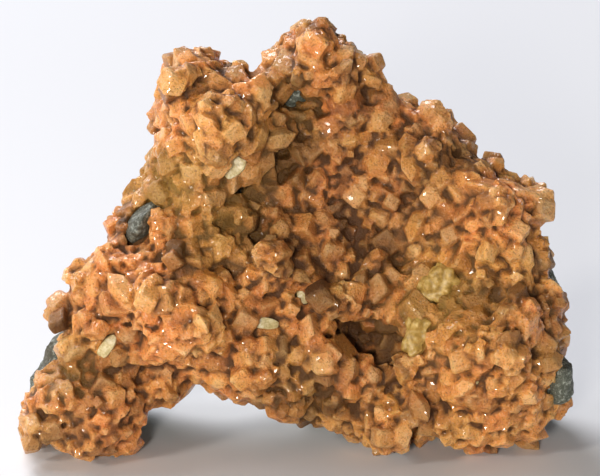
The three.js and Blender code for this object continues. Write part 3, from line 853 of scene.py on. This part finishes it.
def covered(point, outwards):
    start = point + outwards * OFF_THE_SKIN
    return any(tree.ray_cast(start, outwards, CLEAR_AHEAD)[0] is not None for tree in NEIGHBOURS)


def outside_of_crust(point, outwards):
    return point.z > GROUND_CLEARANCE and not covered(point, outwards)


def in_a_gap_of_the_crust(point, outwards):
    """On the front of the basalt, where the crust has a gap and the stone isn't bare."""
    x, y, _ = on_plane(point)
    front = (PLANE.to_3x3().inverted() @ outwards).z > FACES_THE_FRONT
    bare = any(math.hypot(x - spot["at"][0], y - spot["at"][1]) < spot["reach"] for spot in BARE)
    return front and not bare and CRUST_TREE.find_nearest(point)[3] < LINED_REACH


batches = [
    sow_and_grow(crust.data, outside_of_crust, SHAPES, **MEDIUM),
    sow_and_grow(crust.data, outside_of_crust, PLAIN_SHAPES, **SMALL),
    sow_and_grow(basalt.data, in_a_gap_of_the_crust, PLAIN_SHAPES, **LINING),
]

# %% [markdown]
# The body is coloured like the crystals on it, from the same patches and depths, only browner:
# painted shade, because it lies in the gaps. A slow noise takes the place of each crystal's own
# tint. Then the crystals and the body are joined in one object.

# %% Body and crystals in one object
# Painted shade of the gaps that the body lies in.
GAP_SHADE_BROWNER = 0.45
BODY_TINT = {"middle": 0.5, "spread": 0.45, "cloud": 2.5 * MM}
BODY_GLOSS = 0.25


def store_growth(mesh, values):
    layer = mesh.attributes.new("growth", "FLOAT_COLOR", "POINT")
    layer.data.foreach_set("color", np.asarray(values, dtype=np.float32).ravel())


def body_colour(vertex):
    brown, yellow = place_colour(vertex.co)
    # Painted shade: browner in deep places and in the gaps.
    brown += DEEP_SHADE_BROWNER * shut_in(vertex.co, vertex.normal) + GAP_SHADE_BROWNER
    tint = BODY_TINT["middle"] + BODY_TINT["spread"] * noise.noise(vertex.co / BODY_TINT["cloud"])
    return [tint, min(brown, 1), yellow, BODY_GLOSS]


def crystals_object(name, batches):
    """All batches as one object with their stored colours."""
    points, corners, stored, count = [], [], [], 0
    for batch_points, batch_corners, batch_stored in batches:
        points.append(batch_points)
        corners.append(batch_corners + count)
        stored.append(batch_stored)
        count += len(batch_points)
    mesh = bpy.data.meshes.new(name)
    mesh.from_pydata(np.vstack(points).tolist(), [], np.vstack(corners).tolist())
    store_growth(mesh, np.vstack(stored))
    obj = bpy.data.objects.new(name, mesh)
    bpy.context.collection.objects.link(obj)
    return obj


store_growth(crust.data, [body_colour(vertex) for vertex in crust.data.vertices])
grown = crystals_object("grown", batches)
only(crust)
grown.select_set(True)
bpy.ops.object.join()
print("crust and crystals:", triangles(crust), "triangles")

# %% [markdown]
# Crystals that grow into each other have no gap between them and no knife-sharp edges. A fine
# voxel remesh makes one skin of the body and all its crystals, and a decimation drops the faces
# that flat places don't need. Shaded flat, the faces that are left look like the small facets of
# the real crystals. A boolean union could fuse them too, but it is slow with so many shapes.

# %% The crystals grown together
FUSED_VOXEL = 0.32 * MM
KEPT_SHARE = 0.29

apart = crust.data.copy()
crust.data.attributes.remove(crust.data.attributes["growth"])
apply_modifier(crust, "REMESH", mode="VOXEL", voxel_size=FUSED_VOXEL)
print("fused:", triangles(crust), "triangles")
apply_modifier(crust, "DECIMATE", ratio=KEPT_SHARE)
crust = keep_largest_part(crust)
bpy.ops.object.shade_flat()
print("crust:", triangles(crust), "triangles")

# %% [markdown]
# The remesh loses the stored colours, so each new corner takes them from the nearest face of the
# mesh before it. Two things are added that only the fused skin can tell. Creases, which lie under
# the mean of the mesh around them, are painted browner, as painted shade. Edges stand over it, and
# are painted lighter, as painted light that shines through them.

# %% Colours of the fused crust
ROUNDS_OF_EVENING = 5
# Painted shade in creases and painted light on edges.
CREASE_SHADE_BROWNER = 2.2
EDGE_LIGHT_PAINTED = 1.0


def colours_from(mesh, points):
    """Stored colours of the nearest face of a mesh, for each point."""
    stored = np.array([value.color[:] for value in mesh.attributes["growth"].data])
    faces = [face.vertices[:] for face in mesh.polygons]
    tree = BVHTree.FromPolygons([v.co for v in mesh.vertices], faces)
    nearest = [tree.find_nearest(point)[2] for point in points]
    return np.array([stored[list(faces[face])].mean(axis=0) for face in nearest])


def sunkenness(mesh):
    """How far in mm each corner lies under the mean of the mesh around it. Edges are negative."""
    points = np.array([v.co[:] for v in mesh.vertices])
    normals = np.array([v.normal[:] for v in mesh.vertices])
    edges = np.array([edge.vertices[:] for edge in mesh.edges])
    here, there = np.concatenate([edges, edges[:, ::-1]]).T
    neighbours = np.bincount(here, minlength=len(points))[:, None]
    evened = points
    for _ in range(ROUNDS_OF_EVENING):
        sums = [np.bincount(here, weights=evened[there, axis], minlength=len(points)) for axis in range(3)]
        evened = np.stack(sums, axis=1) / neighbours
    return ((evened - points) * normals).sum(axis=1) / MM


fused_colours = colours_from(apart, [vertex.co for vertex in crust.data.vertices])
sunken = sunkenness(crust.data)
# Painted light on the edges, painted shade in the creases.
fused_colours[:, 0] += EDGE_LIGHT_PAINTED * np.clip(-sunken, 0, 1)
fused_colours[:, 1] += CREASE_SHADE_BROWNER * np.clip(sunken, 0, 1)
store_growth(crust.data, np.clip(fused_colours, 0, 1))
bpy.data.meshes.remove(apart)
crust.data.materials.clear()
crust.data.materials.append(GMELINITE)
print("sunken, mm, from edges to creases:", np.percentile(sunken, [1, 10, 50, 90, 99]).round(2))
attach(crust, "root")
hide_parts("gmelinite_crust")

# %% [markdown]
# The pale blades are flat, lath-shaped crystals that narrow to both ends. A box of the blade's
# size is cut into smaller faces, its two end faces are shrunk, and one level of subdivision rounds
# what is left. Each lies at the middle of the solid it replaces, turned in the plane of the face
# and then tipped out of it by the same angles as the solid.

# %% The pale blades
BLADES = {
    "pale_blade_left": {"size": (2.0, 4.2, 1.5), "turn": -36, "tip": 14, "ends": (0.8, 0.35)},
    "pale_blade_middle": {"size": (1.9, 4.6, 1.5), "turn": 83, "tip": 8, "ends": (0.5, 0.6)},
    "pale_blade_under_knob": {"size": (3.0, 4.4, 1.6), "turn": -52, "tip": 16, "ends": (0.8, 0.4)},
    "pale_blade_right": {"size": (2.2, 2.9, 1.6), "turn": -30, "tip": 12, "ends": (0.6, 0.5)},
    "pale_blade_hollow": {"size": (1.4, 2.6, 1.3), "turn": 28, "tip": 10, "ends": (0.6, 0.5)},
}


def middle_of(node):
    low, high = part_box(node)
    return (Vector(low) + Vector(high)) / 2


def model_blade(node, size, turn, tip, ends):
    nothing_selected()
    bpy.ops.mesh.primitive_cube_add(size=1)
    obj = bpy.context.object
    obj.name = obj.data.name = node + "_clear"
    obj.scale = Vector(size) * MM
    bpy.ops.object.transform_apply(scale=True)
    bpy.ops.object.mode_set(mode="EDIT")
    bpy.ops.mesh.select_all(action="SELECT")
    bpy.ops.mesh.subdivide(number_cuts=3)
    for side, width in zip((-1, 1), ends):
        select_faces(obj, lambda face: face.normal.y * side > NEARLY_STRAIGHT)
        bpy.ops.transform.resize(value=(width, 1.0, width))
    bpy.ops.object.mode_set(mode="OBJECT")
    apply_modifier(obj, "SUBSURF", levels=1)
    place = PLANE.to_3x3().to_4x4() @ Matrix.Rotation(math.radians(turn), 4, "Z")
    place = place @ Matrix.Rotation(math.radians(tip), 4, "X")
    obj.data.transform(Matrix.Translation(middle_of(node)) @ place)
    obj.data.materials.append(STILBITE)
    print(obj.name, triangles(obj), "triangles")
    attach(obj, "root")
    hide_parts(node)


for node, form in BLADES.items():
    model_blade(node, **form)

# %% [markdown]
# The flakes are a waxy yellow-green film that grew in small round lobes, so their edges are
# scalloped. The solid flake is remeshed fine and pushed out in cells of 1.7 mm, one for each lobe.

# %% The yellow flakes
FLAKE_VOXEL = 0.3 * MM
LOBES = {"size": 1.7 * MM, "depth": -1.3 * MM, "middle": 0.5}


def model_flake(node):
    flake = copy_of_node(node, node + "_film")
    apply_modifier(flake, "REMESH", mode="VOXEL", voxel_size=FLAKE_VOXEL)
    displace(flake, lambda point: 1, "VORONOI", **LOBES)
    bpy.ops.object.shade_smooth()
    flake.data.materials.append(CLAY)
    print(flake.name, triangles(flake), "triangles")
    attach(flake, "root")
    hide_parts(node)


for node in ("yellow_flake_upper", "yellow_flake_lower"):
    model_flake(node)

# %% [markdown]
# The specimen stands on a plain pale surface. A flat sheet is enough, because the camera looks
# down and never sees its far edge.

# %% The floor
FLOOR_WIDTH = 8


def make_paper():
    m = new_material("paper_white")
    surface = add_node(m, "BsdfPrincipled", {"Base Color": linear("#e6e7ea"), "Roughness": 0.9, "IOR": 1.3})
    return finish_material(m, surface)


nothing_selected()
bpy.ops.mesh.primitive_plane_add(size=FLOOR_WIDTH)
floor = bpy.context.object
floor.name = "floor"
floor.data.materials.append(make_paper())

# %% [markdown]
# The specimen's shadow falls towards the camera and to the right, so the main light is a large
# window behind it on the left. Two small lights on the left, one beside the specimen and one
# nearer the camera, bring out the crystals of the face, and a wide weak one in front fills the
# hollows. The light for the glints is in front too. It is small and bright, so that single facets
# flash and the rest don't. The world fills in what is left.
# Colours are shown as they are, without a film curve, so the floor stays pale and the orange clean.

# %% Light
LIGHTS = {
    "window": {"place": (-0.62, 1.0, 1.1), "size": 0.85, "power": 26.5, "colour": "#fbfbff"},
    "side": {"place": (-0.25, 0.02, 0.2), "size": 0.12, "power": 0.2, "colour": "#fbfbff"},
    "face": {"place": (-0.5, -0.4, 0.3), "size": 0.1, "power": 1.5, "colour": "#fff8ee"},
    "front": {"place": (-0.35, -0.9, 0.14), "size": 0.4, "power": 1.0, "colour": "#fff8ee"},
    "glint": {"place": (-0.15, -0.95, 0.28), "size": 0.11, "power": 5.2, "colour": "#fffaf2"},
}
LIGHTS_AIM = Vector((0, 0, 0.035))
WORLD_COLOUR = "#eef1f6"
WORLD_STRENGTH = 0.13


def area_light(name, place, size, power, colour):
    data = bpy.data.lights.new(name, "AREA")
    data.size = size
    data.energy = power
    data.color = linear(colour)[:3]
    light = bpy.data.objects.new(name, data)
    light.location = place
    light.rotation_euler = (LIGHTS_AIM - Vector(place)).to_track_quat("-Z", "Y").to_euler()
    bpy.context.collection.objects.link(light)


for name, light in LIGHTS.items():
    area_light(name, **light)

world = bpy.data.worlds.new("soft_room")
world.use_nodes = True
world.node_tree.nodes["Background"].inputs["Color"].default_value = linear(WORLD_COLOUR)
world.node_tree.nodes["Background"].inputs["Strength"].default_value = WORLD_STRENGTH
bpy.context.scene.world = world
bpy.context.scene.view_settings.view_transform = "Standard"
print("lights:", len(LIGHTS))

# %% [markdown]
# The camera looks straight at the face, so in the plane of the specimen it isn't turned at all:
# it only stands back from it. Its lens is set so that the picture is 97.65 mm wide at the face.

# %% Camera
DISTANCE = 450 * MM
FIELD_WIDTH = 97.65 * MM
LOOKS_AT = (0.65 * MM, 36.6 * MM)
SENSOR_WIDTH = 36

camera_data = bpy.data.cameras.new("camera")
camera_data.sensor_width = SENSOR_WIDTH
camera_data.lens = SENSOR_WIDTH * DISTANCE / FIELD_WIDTH
camera_data.clip_start = 0.01
camera = bpy.data.objects.new("camera", camera_data)
camera.matrix_world = PLANE @ Matrix.Translation((*LOOKS_AT, DISTANCE))
bpy.context.collection.objects.link(camera)
bpy.context.scene.camera = camera
print("lens", round(camera_data.lens, 1), "mm")
